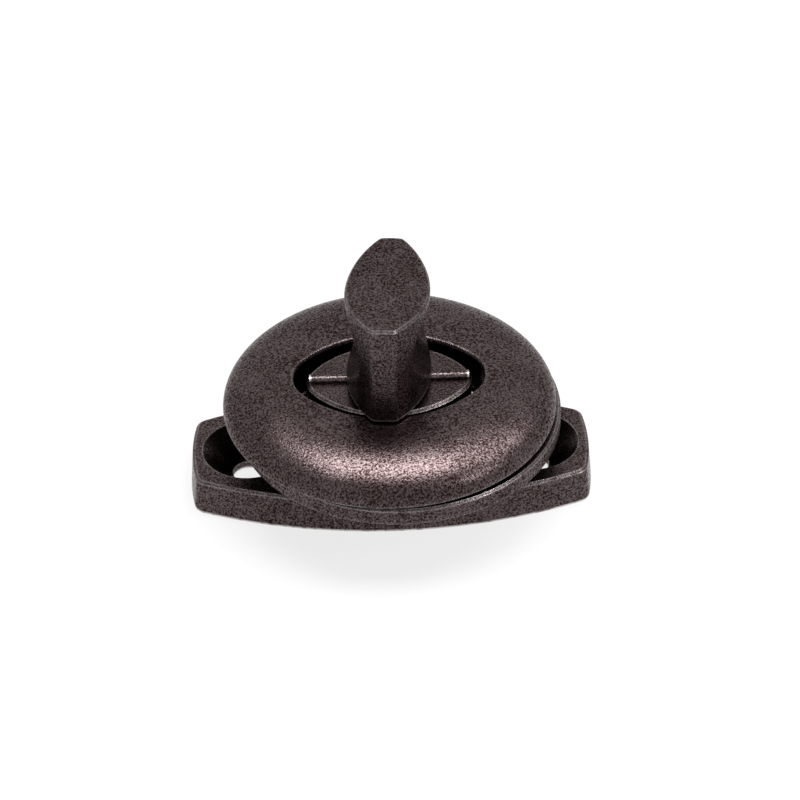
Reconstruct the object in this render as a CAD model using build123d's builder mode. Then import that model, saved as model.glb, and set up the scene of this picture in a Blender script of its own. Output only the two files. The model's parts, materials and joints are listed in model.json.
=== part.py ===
from build123d import *
import math
import os

# Cupboard turn button: a screwed base whose thumb-piece turns across a domed eyelet ring.
# Millimetres. Origin at the centre of the base's underside, +X along the base, +Z out of the
# cupboard front. The photograph's viewer stands at -Y.

# Base plate, bowed front and back with rounded ends
plate_length = 44.3
plate_end_depth = 11.0
plate_mid_depth = 19.8
plate_end_bow = 0.6
plate_height = 4.1
plate_corner_radius = 1.8
casting_draft = 4.0
edge_break = 0.25

# Countersunk screw holes
screw_spacing = 31.5
screw_hole_radius = 1.8
screw_land = 0.9
countersink_angle = 90.0

# Round seat that lifts the backing ring clear of the screw heads
seat_inset = 1.15
seat_height = 3.2
seat_root_fillet = 0.4

# Oval boss that stands through the rings
boss_length = 18.0
boss_width = 12.4
boss_tip_radius = 3.4
boss_height = 6.1
boss_edge_chamfer = 0.3

# Detent rib along the boss, parted by the round bearing land
rib_width = 1.15
rib_height = 0.7
rib_edge_round = 0.5
bearing_land_radius = 3.3

# Spindle, its bore and the spring pocket under the boss
spindle_radius = 2.0
neck_radius = 1.5
running_clearance = 0.05
axial_play = 0.05
pocket_radius = 4.25
pocket_roof = 4.15
recess_of_end = 1.0
peened_radius = 2.3
peened_height = 1.1

# Retaining washer and coil spring
washer_radius = 3.85
washer_thickness = 1.0
washer_edge_break = 0.12
wire_radius = 0.4
spring_mean_radius = 3.2
spring_turns = 4.5
spring_seat_gap = 0.03

# Domed eyelet ring
ring_radius = 18.25
ring_lip_height = 0.75
ring_lip_inset = 1.0
dome_height = 3.7
dome_hollow = 1.0
ring_hole_gap_x = 1.4
ring_hole_gap_y = 1.0
ring_hole_to_crest = 0.45
ring_hole_edge_round = 0.35

# Backing ring, lying a little to one side under the domed ring
backing_radius = 17.75
backing_thickness = 2.2
backing_shift = 1.0
backing_hole_gap = 0.7
backing_edge_round = 0.5

# Thumb-piece: an oval with cut ends, a crowned top and a finger scoop in each flank
thumb_length = 17.0
thumb_width = 9.2
thumb_end_width = 2.5
thumb_height = 12.1
thumb_crown = 0.85
thumb_rest_turn = -4.9
thumb_over_rib = 0.12
thumb_corner_round = 0.8
thumb_edge_break = 0.22
hub_radius = 3.1
scoop_depth = 0.85
scoop_height = 10.3
scoop_length = 13.2
scoop_swing = 60.0

# Heights that follow from the sizes above
seat_top = plate_height + seat_height
boss_top = seat_top + boss_height
rib_top = boss_top + rib_height
thumb_bottom = rib_top + thumb_over_rib
thumb_top = thumb_bottom + thumb_height
pocket_top = boss_top - pocket_roof
peened_bottom = recess_of_end
neck_bottom = peened_bottom + peened_height
washer_bottom = neck_bottom + axial_play / 2
washer_top = washer_bottom + washer_thickness
spindle_shoulder = washer_top + axial_play / 2
backing_top = seat_top + backing_thickness
ring_bottom = backing_top
lip_top = ring_bottom + ring_lip_height
dome_top = lip_top + dome_height


def bulge_radius(half_chord, sagitta):
    """Radius of the arc that rises by sagitta over a chord."""
    return (half_chord**2 + sagitta**2) / (2 * sagitta)


def pointed_oval(length, width, tip_radius):
    """Closed outline of two long flanks that run tangent into rounded tips."""
    a = length / 2
    b = width / 2
    flank = (a**2 + b**2 - 2 * a * tip_radius) / (2 * (b - tip_radius))
    flank_centre = Vector(0, b - flank)
    tip_centre = Vector(a - tip_radius, 0)
    joint = flank_centre + (tip_centre - flank_centre).normalized() * flank
    x, y = joint.X, joint.Y
    ThreePointArc((-x, y), (0, b), (x, y))
    ThreePointArc((x, y), (a, 0), (x, -y))
    ThreePointArc((x, -y), (0, -b), (-x, -y))
    ThreePointArc((-x, -y), (-a, 0), (-x, y))


os.makedirs("parts", exist_ok=True)

# Base plate with its seat, boss and detent rib, cast in one piece
half_plate = plate_length / 2
seat_radius = plate_mid_depth / 2 - seat_inset
plate_corner_x = half_plate - plate_end_bow
screw_cone_height = plate_height - screw_land
countersink_radius = screw_hole_radius + screw_cone_height * math.tan(math.radians(countersink_angle / 2))

with BuildPart() as base_plate:
    with BuildSketch() as plate_plan:
        with BuildLine():
            corner_y = plate_end_depth / 2
            front = ThreePointArc(
                (-plate_corner_x, -corner_y), (0, -plate_mid_depth / 2), (plate_corner_x, -corner_y)
            )
            right = ThreePointArc((plate_corner_x, -corner_y), (half_plate, 0), (plate_corner_x, corner_y))
            mirror(front, about=Plane.XZ)
            mirror(right, about=Plane.YZ)
        make_face()
        fillet(plate_plan.vertices(), plate_corner_radius)
    extrude(amount=plate_height, taper=casting_draft)
    plate_rim = base_plate.faces().sort_by(Axis.Z)[-1].edges()
    chamfer(plate_rim, edge_break)

    with BuildSketch(Plane.XY.offset(plate_height)):
        Circle(seat_radius)
    extrude(amount=seat_height)
    seat_root = base_plate.edges(Select.LAST).group_by(Axis.Z)[0]
    fillet(seat_root, seat_root_fillet)

    with BuildSketch(Plane.XY.offset(seat_top)):
        with BuildLine():
            pointed_oval(boss_length, boss_width, boss_tip_radius)
        make_face()
    extrude(amount=boss_height)
    chamfer(base_plate.faces().sort_by(Axis.Z)[-1].edges(), boss_edge_chamfer)

    rib_length = boss_length - 2 * boss_edge_chamfer
    with BuildSketch(Plane.XY.offset(boss_top)):
        Rectangle(rib_length, rib_width)
        Circle(bearing_land_radius, mode=Mode.SUBTRACT)
    extrude(amount=rib_height)
    rib_faces = base_plate.faces().filter_by(Axis.Z).group_by(Axis.Z)[-1]
    fillet(rib_faces.edges().filter_by(Axis.X), rib_edge_round)

    with Locations((0, 0, boss_top)):
        Hole(spindle_radius + running_clearance)
    with BuildSketch():
        Circle(pocket_radius)
    extrude(amount=pocket_top, mode=Mode.SUBTRACT)

    with Locations(Plane.XY.offset(plate_height)):
        with GridLocations(screw_spacing, 0, 2, 1):
            CounterSinkHole(screw_hole_radius, countersink_radius, counter_sink_angle=countersink_angle)

base_plate.part.label = "base_plate"
export_step(base_plate.part, "parts/base_plate.step")

# Thumb-piece with its hub, spindle and peened end, one piece
half_thumb = thumb_length / 2
half_width = thumb_width / 2
half_end = thumb_end_width / 2
side_height = thumb_top - thumb_crown
flank_radius = bulge_radius(half_thumb, half_width - half_end)
thumb_plan_plane = Plane.XY.rotated((0, 0, thumb_rest_turn))
thumb_side_plane = Plane((0, 0, 0), x_dir=thumb_plan_plane.x_dir, z_dir=-thumb_plan_plane.y_dir)

# Each scoop is swung about an upright axis, bowed along the flank and hollow from top to bottom
scoop_edge_x = half_width - flank_radius + math.sqrt(flank_radius**2 - (scoop_length / 2) ** 2)
scoop_waist_x = half_width - scoop_depth
scoop_waist_radius = bulge_radius(scoop_length / 2, scoop_waist_x - scoop_edge_x)
scoop_brim_radius = scoop_waist_radius + scoop_depth
scoop_outer_radius = scoop_brim_radius + thumb_width
scoop_middle = (thumb_bottom + side_height) / 2
scoop_low = scoop_middle - scoop_height / 2
scoop_high = scoop_middle + scoop_height / 2
scoop_centre = thumb_plan_plane.x_dir * (scoop_waist_x - scoop_waist_radius)
swing_start = thumb_plan_plane.rotated((0, 0, -scoop_swing / 2))

with BuildPart() as scoop_cutter:
    with BuildSketch(Plane(scoop_centre, x_dir=swing_start.x_dir, z_dir=-swing_start.y_dir)):
        with BuildLine():
            ThreePointArc(
                (scoop_brim_radius, scoop_low),
                (scoop_waist_radius, scoop_middle),
                (scoop_brim_radius, scoop_high),
            )
            Polyline(
                (scoop_brim_radius, scoop_high),
                (scoop_outer_radius, scoop_high),
                (scoop_outer_radius, scoop_low),
                (scoop_brim_radius, scoop_low),
            )
        make_face()
    revolve(axis=Axis(scoop_centre, (0, 0, 1)), revolution_arc=scoop_swing)

with BuildPart() as thumb_piece:
    with BuildSketch(thumb_plan_plane.offset(thumb_bottom)):
        with BuildLine():
            right_flank = ThreePointArc((half_end, -half_thumb), (half_width, 0), (half_end, half_thumb))
            mirror(right_flank, about=Plane.YZ)
            Line((-half_end, -half_thumb), (half_end, -half_thumb))
            Line((-half_end, half_thumb), (half_end, half_thumb))
        make_face()
    extrude(amount=thumb_height)
    fillet(thumb_piece.edges().filter_by(Axis.Z), thumb_corner_round)

    # The crowned top: what is left under an arc across the width
    with BuildSketch(thumb_side_plane):
        with BuildLine():
            ThreePointArc((-half_width, side_height), (0, thumb_top), (half_width, side_height))
            Polyline(
                (half_width, side_height),
                (half_width, thumb_bottom),
                (-half_width, thumb_bottom),
                (-half_width, side_height),
            )
        make_face()
    extrude(amount=half_thumb, both=True, mode=Mode.INTERSECT)
    top_face = thumb_piece.faces().sort_by(Axis.Z)[-1]
    chamfer(top_face.edges(), thumb_edge_break)
    for turn in (0, 180):
        add(scoop_cutter.part.rotate(Axis.Z, turn), mode=Mode.SUBTRACT)

    with BuildSketch(Plane.XY.offset(boss_top + axial_play)):
        Circle(hub_radius)
    extrude(until=Until.NEXT)
    with BuildSketch(Plane.XY.offset(spindle_shoulder)):
        Circle(spindle_radius)
    extrude(amount=boss_top + axial_play - spindle_shoulder)
    with BuildSketch(Plane.XY.offset(neck_bottom)):
        Circle(neck_radius)
    extrude(amount=spindle_shoulder - neck_bottom)
    with BuildSketch(Plane.XY.offset(peened_bottom)):
        Circle(peened_radius)
    extrude(amount=peened_height)
    peened_rim = thumb_piece.faces().sort_by(Axis.Z)[0].edges()
    fillet(peened_rim, peened_height * 0.6)

thumb_piece.part.label = "thumb_piece"
export_step(thumb_piece.part, "parts/thumb_piece.step")

# Retaining washer on the spindle's neck
with BuildPart() as retaining_washer:
    with BuildSketch(Plane.XY.offset(washer_bottom)):
        Circle(washer_radius)
        Circle(neck_radius + running_clearance, mode=Mode.SUBTRACT)
    extrude(amount=washer_thickness)
    outer_rims = retaining_washer.edges().filter_by(GeomType.CIRCLE).sort_by(SortBy.RADIUS)[-2:]
    chamfer(outer_rims, washer_edge_break)

retaining_washer.part.label = "retaining_washer"
export_step(retaining_washer.part, "parts/retaining_washer.step")

# Coil spring between the washer and the pocket's roof, its ends ground flat
spring_bottom = washer_top + spring_seat_gap
spring_top = pocket_top - spring_seat_gap
spring_length = spring_top - spring_bottom
spring_pitch = spring_length / spring_turns

with BuildPart() as coil_spring:
    with BuildLine():
        coil = Helix(spring_pitch, spring_length, spring_mean_radius, center=(0, 0, spring_bottom))
    with BuildSketch(Plane(coil @ 0, z_dir=coil % 0)):
        Circle(wire_radius)
    sweep(is_frenet=True)
    with BuildSketch(Plane.XY.offset(spring_bottom)):
        Circle(pocket_radius)
    extrude(amount=spring_length, mode=Mode.INTERSECT)

coil_spring.part.label = "coil_spring"
export_step(coil_spring.part, "parts/coil_spring.step")

# Domed eyelet ring: a fat dome over a drawn-in lip, with a pointed oval hole inside its crest
crest_radius = boss_length / 2 + ring_hole_gap_x + ring_hole_to_crest
dome_reach = ring_radius - crest_radius

with BuildPart() as domed_ring:
    with BuildSketch(Plane.XZ):
        with BuildLine():
            lip_start = (ring_radius - ring_lip_inset, ring_bottom)
            lip_end = (ring_radius, lip_top)
            Line((0, ring_bottom), lip_start)
            TangentArc(lip_start, lip_end, tangent=(1, 0.35))
            EllipticalCenterArc(
                (crest_radius, lip_top), dome_reach, dome_height, start_angle=0, arc_size=90
            )
            TangentArc((crest_radius, dome_top), (0, dome_top - dome_hollow), tangent=(-1, 0))
            Line((0, dome_top - dome_hollow), (0, ring_bottom))
        make_face()
    revolve(axis=Axis.Z)
    with BuildSketch(Plane.XY.offset(ring_bottom)):
        with BuildLine():
            pointed_oval(
                boss_length + 2 * ring_hole_gap_x,
                boss_width + 2 * ring_hole_gap_y,
                boss_tip_radius + ring_hole_gap_y,
            )
        make_face()
    extrude(amount=dome_top - ring_bottom, mode=Mode.SUBTRACT)
    hole_edges = domed_ring.edges().filter_by(lambda e: e.center().Z > lip_top + 0.5 * dome_height)
    fillet(hole_edges, ring_hole_edge_round)

domed_ring.part.label = "domed_ring"
export_step(domed_ring.part, "parts/domed_ring.step")

# Backing ring under the domed ring
with BuildPart() as backing_ring:
    with BuildSketch(Plane.XY.offset(seat_top)):
        with Locations((backing_shift, 0)):
            Circle(backing_radius)
    extrude(amount=backing_thickness)
    rims = backing_ring.edges().sort_by(Axis.Z)
    fillet(rims[0], backing_edge_round)
    chamfer(rims[-1], edge_break)
    with BuildSketch(Plane((backing_shift, 0, seat_top))):
        with BuildLine():
            pointed_oval(
                boss_length + 2 * (ring_hole_gap_x + backing_hole_gap),
                boss_width + 2 * (ring_hole_gap_y + backing_hole_gap),
                boss_tip_radius + ring_hole_gap_y + backing_hole_gap,
            )
        make_face()
    extrude(amount=backing_thickness, mode=Mode.SUBTRACT)

backing_ring.part.label = "backing_ring"
export_step(backing_ring.part, "parts/backing_ring.step")
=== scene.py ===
import json
import math

import bpy
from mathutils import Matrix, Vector


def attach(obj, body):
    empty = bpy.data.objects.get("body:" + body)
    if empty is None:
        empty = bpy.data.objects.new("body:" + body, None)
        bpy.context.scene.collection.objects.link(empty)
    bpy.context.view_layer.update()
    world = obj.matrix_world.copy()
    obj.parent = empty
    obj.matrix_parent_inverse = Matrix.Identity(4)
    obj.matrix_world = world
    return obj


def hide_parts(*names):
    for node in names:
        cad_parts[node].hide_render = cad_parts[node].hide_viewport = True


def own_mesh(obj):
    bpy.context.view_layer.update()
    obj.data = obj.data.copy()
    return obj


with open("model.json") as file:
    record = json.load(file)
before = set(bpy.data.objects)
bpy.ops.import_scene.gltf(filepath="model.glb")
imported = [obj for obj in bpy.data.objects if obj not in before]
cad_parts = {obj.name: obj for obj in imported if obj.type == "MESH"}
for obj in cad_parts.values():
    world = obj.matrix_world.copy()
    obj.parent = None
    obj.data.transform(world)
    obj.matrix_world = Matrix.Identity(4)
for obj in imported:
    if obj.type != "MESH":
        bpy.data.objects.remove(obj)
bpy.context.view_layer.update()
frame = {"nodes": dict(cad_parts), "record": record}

# Looks of the cupboard turn button: dark oxidised castings on a pale floor under soft studio light.
# Everything is in metres, in the frame of the part: +X along the base, +Z up, viewer at -Y.

# The photograph's view, found from the outlines of the plate, the rings and the thumb-piece
FRAME_SIZE = 800
VIEW_ELEVATION = math.radians(38.48)
VIEW_HEADING = math.radians(1.04)
VIEW_ROLL = math.radians(1.12)
PIXELS_PER_METRE = 9000.0
VIEW_DISTANCE = 4000.0 / PIXELS_PER_METRE
ORIGIN_PIXEL = Vector((391.2, 473.4))
SENSOR_WIDTH = 36.0
CLIP_START = 0.01

# Colours of the cast metal: its brown-black skin from dark to light, its rubbed edges, whose light colour
# also paints a highlight along every edge, and its oxide's tint
SKIN_DARK = (0.016, 0.005, 0.005, 1)
SKIN_LIGHT = (0.086, 0.060, 0.061, 1)
RUBBED_AND_HIGHLIGHT = (0.60, 0.56, 0.56, 1)
OXIDE_TINT = (0.5, 0.46, 0.46, 1)
OXIDE_IOR = 1.5

# How far under the surface the metal counts as thin at an edge, and how deep the grain is
EDGE_REACH = 0.0003
GRAIN_DEPTH = 0.00003

# Colours of the drawn steel, across its streaks
STEEL_DARK = (0.20, 0.20, 0.21, 1)
STEEL_LIGHT = (0.34, 0.34, 0.35, 1)

# The floor's half side, how far it lies below the base's underside, its grey and the share of it that glows
FLOOR_HALF = 3.0
FLOOR_DROP = 0.00002
FLOOR_GREY = (0.86, 0.86, 0.86, 1)
FLOOR_GLOW_SHARE = 0.8
WHITE = (1, 1, 1, 1)

# Strength of the world where it only gives light, and where the camera and mirrors see it
WORLD_FILL = 0.2
WORLD_SEEN = 1.0

# Distance of every lamp from the part's origin
LAMP_DISTANCE = 0.5


def make_camera():
    """The camera at the photograph's angle, with the part's origin on its pixel."""
    sin_e, cos_e = math.sin(VIEW_ELEVATION), math.cos(VIEW_ELEVATION)
    sin_h, cos_h = math.sin(VIEW_HEADING), math.cos(VIEW_HEADING)
    right = Vector((cos_h, -sin_h, 0))
    up = Vector((sin_h * sin_e, cos_h * sin_e, cos_e))
    back = right.cross(up)
    off_x = (ORIGIN_PIXEL.x - FRAME_SIZE / 2) / PIXELS_PER_METRE
    off_y = (FRAME_SIZE / 2 - ORIGIN_PIXEL.y) / PIXELS_PER_METRE
    roll_right = right * math.cos(VIEW_ROLL) - up * math.sin(VIEW_ROLL)
    roll_up = up * math.cos(VIEW_ROLL) + right * math.sin(VIEW_ROLL)
    place = back * VIEW_DISTANCE - roll_right * off_x - roll_up * off_y
    data = bpy.data.cameras.new("camera")
    data.sensor_width = SENSOR_WIDTH
    data.lens = SENSOR_WIDTH * VIEW_DISTANCE * PIXELS_PER_METRE / FRAME_SIZE
    data.clip_start = CLIP_START
    camera = bpy.data.objects.new("camera", data)
    bpy.context.scene.collection.objects.link(camera)
    basis = [roll_right, roll_up, roll_right.cross(roll_up)]
    for row in range(3):
        for column in range(3):
            camera.matrix_world[row][column] = basis[column][row]
        camera.matrix_world[row][3] = place[row]
    bpy.context.scene.camera = camera


class Nodes:
    """Small helper that adds and links the nodes of one material."""

    # The mix node's colour sockets, by number, as their names are shared with its other sockets
    MIX_A = 6
    MIX_B = 7
    MIX_RESULT = 2

    def __init__(self, name):
        self.material = bpy.data.materials.new(name)
        self.material.use_nodes = True
        self.tree = self.material.node_tree
        self.tree.nodes.clear()
        self.output = self.add("ShaderNodeOutputMaterial")

    def add(self, kind, **values):
        """A new node, whose sockets or settings take the values given."""
        node = self.tree.nodes.new(kind)
        for key, value in values.items():
            if key in node.inputs:
                node.inputs[key].default_value = value
            else:
                setattr(node, key, value)
        return node

    def link(self, source, target):
        self.tree.links.new(source, target)

    def noise(self, coords, scale, detail, roughness):
        """Noise of so many waves to the metre."""
        node = self.add("ShaderNodeTexNoise", Scale=scale, Detail=detail, Roughness=roughness)
        self.link(coords, node.inputs["Vector"])
        return node.outputs["Fac"]

    def ramp(self, value, low, high, to_low=0.0, to_high=1.0):
        """The value brought from the range low to high to the range to_low to to_high."""
        node = self.add("ShaderNodeMapRange")
        node.inputs["From Min"].default_value = low
        node.inputs["From Max"].default_value = high
        node.inputs["To Min"].default_value = to_low
        node.inputs["To Max"].default_value = to_high
        self.link(value, node.inputs["Value"])
        return node.outputs["Result"]

    def math(self, operation, a, b):
        node = self.add("ShaderNodeMath", operation=operation)
        for socket, value in zip(node.inputs, (a, b)):
            if isinstance(value, (int, float)):
                socket.default_value = value
            else:
                self.link(value, socket)
        return node.outputs["Value"]

    def mix(self, factor, a, b):
        """A blend of two colours, each a tuple or a socket."""
        node = self.add("ShaderNodeMix", data_type="RGBA")
        self.link(factor, node.inputs["Factor"])
        for socket, value in ((node.inputs[self.MIX_A], a), (node.inputs[self.MIX_B], b)):
            if isinstance(value, tuple):
                socket.default_value = value
            else:
                self.link(value, socket)
        return node.outputs[self.MIX_RESULT]


def dark_bronze():
    """Cast metal, oxidised brown-black, satin with a fine grain and lighter rubbed edges, whose light
    colour also paints a highlight along every edge.
    """
    n = Nodes("dark_bronze")
    coords = n.add("ShaderNodeTexCoord").outputs["Object"]
    grain = n.noise(coords, scale=4700.0, detail=2.0, roughness=0.6)
    pits = n.noise(coords, scale=2100.0, detail=2.0, roughness=0.5)
    cloud = n.noise(coords, scale=240.0, detail=3.0, roughness=0.55)
    rub = n.noise(coords, scale=900.0, detail=2.0, roughness=0.6)

    # Colour: brown-black, mottled by the grain and in soft clouds
    mottle = n.math("ADD", n.math("MULTIPLY", grain, 0.75), n.math("MULTIPLY", cloud, 0.25))
    body = n.mix(n.ramp(mottle, low=0.42, high=0.60), SKIN_DARK, SKIN_LIGHT)

    # Edges: where the metal under the surface is thin, the brown is rubbed through, and the lighter colour
    # there is also a painted highlight along every convex edge
    thin = n.add("ShaderNodeAmbientOcclusion", samples=8, inside=True, only_local=True, Distance=EDGE_REACH)
    edge = n.ramp(thin.outputs["AO"], low=0.90, high=0.74)
    worn_and_highlight = n.math("MULTIPLY", edge, n.ramp(rub, low=0.34, high=0.52, to_low=0.35, to_high=1.0))
    colour = n.mix(worn_and_highlight, body, RUBBED_AND_HIGHLIGHT)

    # A neutral oxide skin over the brown metal, glossier on the tops of the grain
    shader = n.add("ShaderNodeBsdfPrincipled", Metallic=1.0)
    n.link(colour, shader.inputs["Base Color"])
    body_roughness = n.ramp(grain, low=0.3, high=0.7, to_low=0.34, to_high=0.24)
    n.link(body_roughness, shader.inputs["Roughness"])
    shader.inputs["Specular Tint"].default_value = OXIDE_TINT
    oxide_cover = n.ramp(grain, low=0.41, high=0.61, to_low=0.05, to_high=0.85)
    n.link(oxide_cover, shader.inputs["Coat Weight"])
    shader.inputs["Coat IOR"].default_value = OXIDE_IOR
    oxide_roughness = n.ramp(grain, low=0.3, high=0.7, to_low=0.30, to_high=0.20)
    n.link(oxide_roughness, shader.inputs["Coat Roughness"])
    bump = n.add("ShaderNodeBump", Strength=1.0, Distance=GRAIN_DEPTH)
    n.link(n.math("ADD", grain, n.math("MULTIPLY", pits, 0.8)), bump.inputs["Height"])
    n.link(bump.outputs["Normal"], shader.inputs["Normal"])
    n.link(bump.outputs["Normal"], shader.inputs["Coat Normal"])
    n.link(shader.outputs["BSDF"], n.output.inputs["Surface"])
    return n.material


def spring_steel():
    """Plain drawn steel of the spring and washer, a little dulled."""
    n = Nodes("spring_steel")
    coords = n.add("ShaderNodeTexCoord").outputs["Object"]
    streak = n.noise(coords, scale=3000.0, detail=3.0, roughness=0.6)
    shader = n.add("ShaderNodeBsdfPrincipled", Metallic=1.0)
    n.link(n.mix(streak, STEEL_DARK, STEEL_LIGHT), shader.inputs["Base Color"])
    roughness = n.ramp(streak, low=0.3, high=0.7, to_low=0.28, to_high=0.42)
    n.link(roughness, shader.inputs["Roughness"])
    n.link(shader.outputs["BSDF"], n.output.inputs["Surface"])
    return n.material


def dress_nodes():
    """Every solid of the part gets the finish that its record names."""
    finishes = {"dark_bronze": dark_bronze(), "spring_steel": spring_steel()}
    for row in frame["record"]["subparts"]:
        node = frame["nodes"][row["node"]]
        node.data.materials.clear()
        node.data.materials.append(finishes[row["material_slot"]])


def make_spring():
    """The coil spring, copied from its solid, joined to the base and left rigid; the real one closes up
    under its pocket's roof as the thumb-piece is lifted.
    """
    node = frame["nodes"]["coil_spring"]
    spring = bpy.data.objects.new("closing_spring", node.data.copy())
    bpy.context.scene.collection.objects.link(spring)
    spring.matrix_world = node.matrix_world.copy()
    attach(spring, "base")
    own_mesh(spring)
    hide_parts("coil_spring")


def seen_directly(n):
    """1 for rays from the camera, mirrors and glass, 0 for the rest."""
    path = n.add("ShaderNodeLightPath")
    seen = n.math("MAXIMUM", path.outputs["Is Camera Ray"], path.outputs["Is Glossy Ray"])
    return n.math("MAXIMUM", seen, path.outputs["Is Transmission Ray"])


def make_floor():
    """A pale floor that keeps a faint shadow."""
    mesh = bpy.data.meshes.new("floor")
    sides = [(-1, -1), (1, -1), (1, 1), (-1, 1)]
    corners = [(x * FLOOR_HALF, y * FLOOR_HALF, -FLOOR_DROP) for x, y in sides]
    mesh.from_pydata(corners, [], [(0, 1, 2, 3)])
    floor = bpy.data.objects.new("floor", mesh)
    bpy.context.scene.collection.objects.link(floor)
    n = Nodes("pale_floor")
    diffuse = n.add("ShaderNodeBsdfDiffuse", Color=FLOOR_GREY)
    glow = n.add("ShaderNodeEmission", Color=WHITE, Strength=1.0)
    blend = n.add("ShaderNodeMixShader")
    n.link(n.math("MULTIPLY", seen_directly(n), FLOOR_GLOW_SHARE), blend.inputs["Fac"])
    n.link(diffuse.outputs["BSDF"], blend.inputs[1])
    n.link(glow.outputs["Emission"], blend.inputs[2])
    n.link(blend.outputs["Shader"], n.output.inputs["Surface"])
    mesh.materials.append(n.material)


def make_world():
    """White where the camera and mirrors see it, and a soft grey light elsewhere."""
    world = bpy.data.worlds.new("world")
    world.use_nodes = True
    bpy.context.scene.world = world
    tree = world.node_tree
    tree.nodes.clear()
    path = tree.nodes.new("ShaderNodeLightPath")
    seen = tree.nodes.new("ShaderNodeMath")
    seen.operation = "MAXIMUM"
    tree.links.new(path.outputs["Is Camera Ray"], seen.inputs[0])
    tree.links.new(path.outputs["Is Glossy Ray"], seen.inputs[1])
    strength = tree.nodes.new("ShaderNodeMapRange")
    strength.inputs["To Min"].default_value = WORLD_FILL
    strength.inputs["To Max"].default_value = WORLD_SEEN
    tree.links.new(seen.outputs["Value"], strength.inputs["Value"])
    background = tree.nodes.new("ShaderNodeBackground")
    tree.links.new(strength.outputs["Result"], background.inputs["Strength"])
    output = tree.nodes.new("ShaderNodeOutputWorld")
    tree.links.new(background.outputs["Background"], output.inputs["Surface"])


def make_lamp(name, azimuth, elevation, width, depth, power):
    """A softbox that faces the part's origin. Azimuth 0 is the viewer's side, 90 is +X."""
    a, e = math.radians(azimuth), math.radians(elevation)
    towards = Vector((math.sin(a) * math.cos(e), -math.cos(a) * math.cos(e), math.sin(e)))
    place = towards * LAMP_DISTANCE
    data = bpy.data.lights.new(name, "AREA")
    data.shape = "RECTANGLE"
    data.size = width
    data.size_y = depth
    data.energy = power
    lamp = bpy.data.objects.new(name, data)
    lamp.location = place
    lamp.rotation_euler = (-place).to_track_quat("-Z", "Y").to_euler()
    bpy.context.scene.collection.objects.link(lamp)


make_camera()
dress_nodes()
make_spring()
make_floor()
make_world()
make_lamp("key", azimuth=62, elevation=38, width=0.12, depth=0.12, power=0.35)
make_lamp("overhead", azimuth=176, elevation=83, width=0.42, depth=0.22, power=3.1)
make_lamp("side", azimuth=102, elevation=51, width=0.17, depth=0.17, power=0.6)

bpy.context.scene.view_settings.view_transform = "Standard"
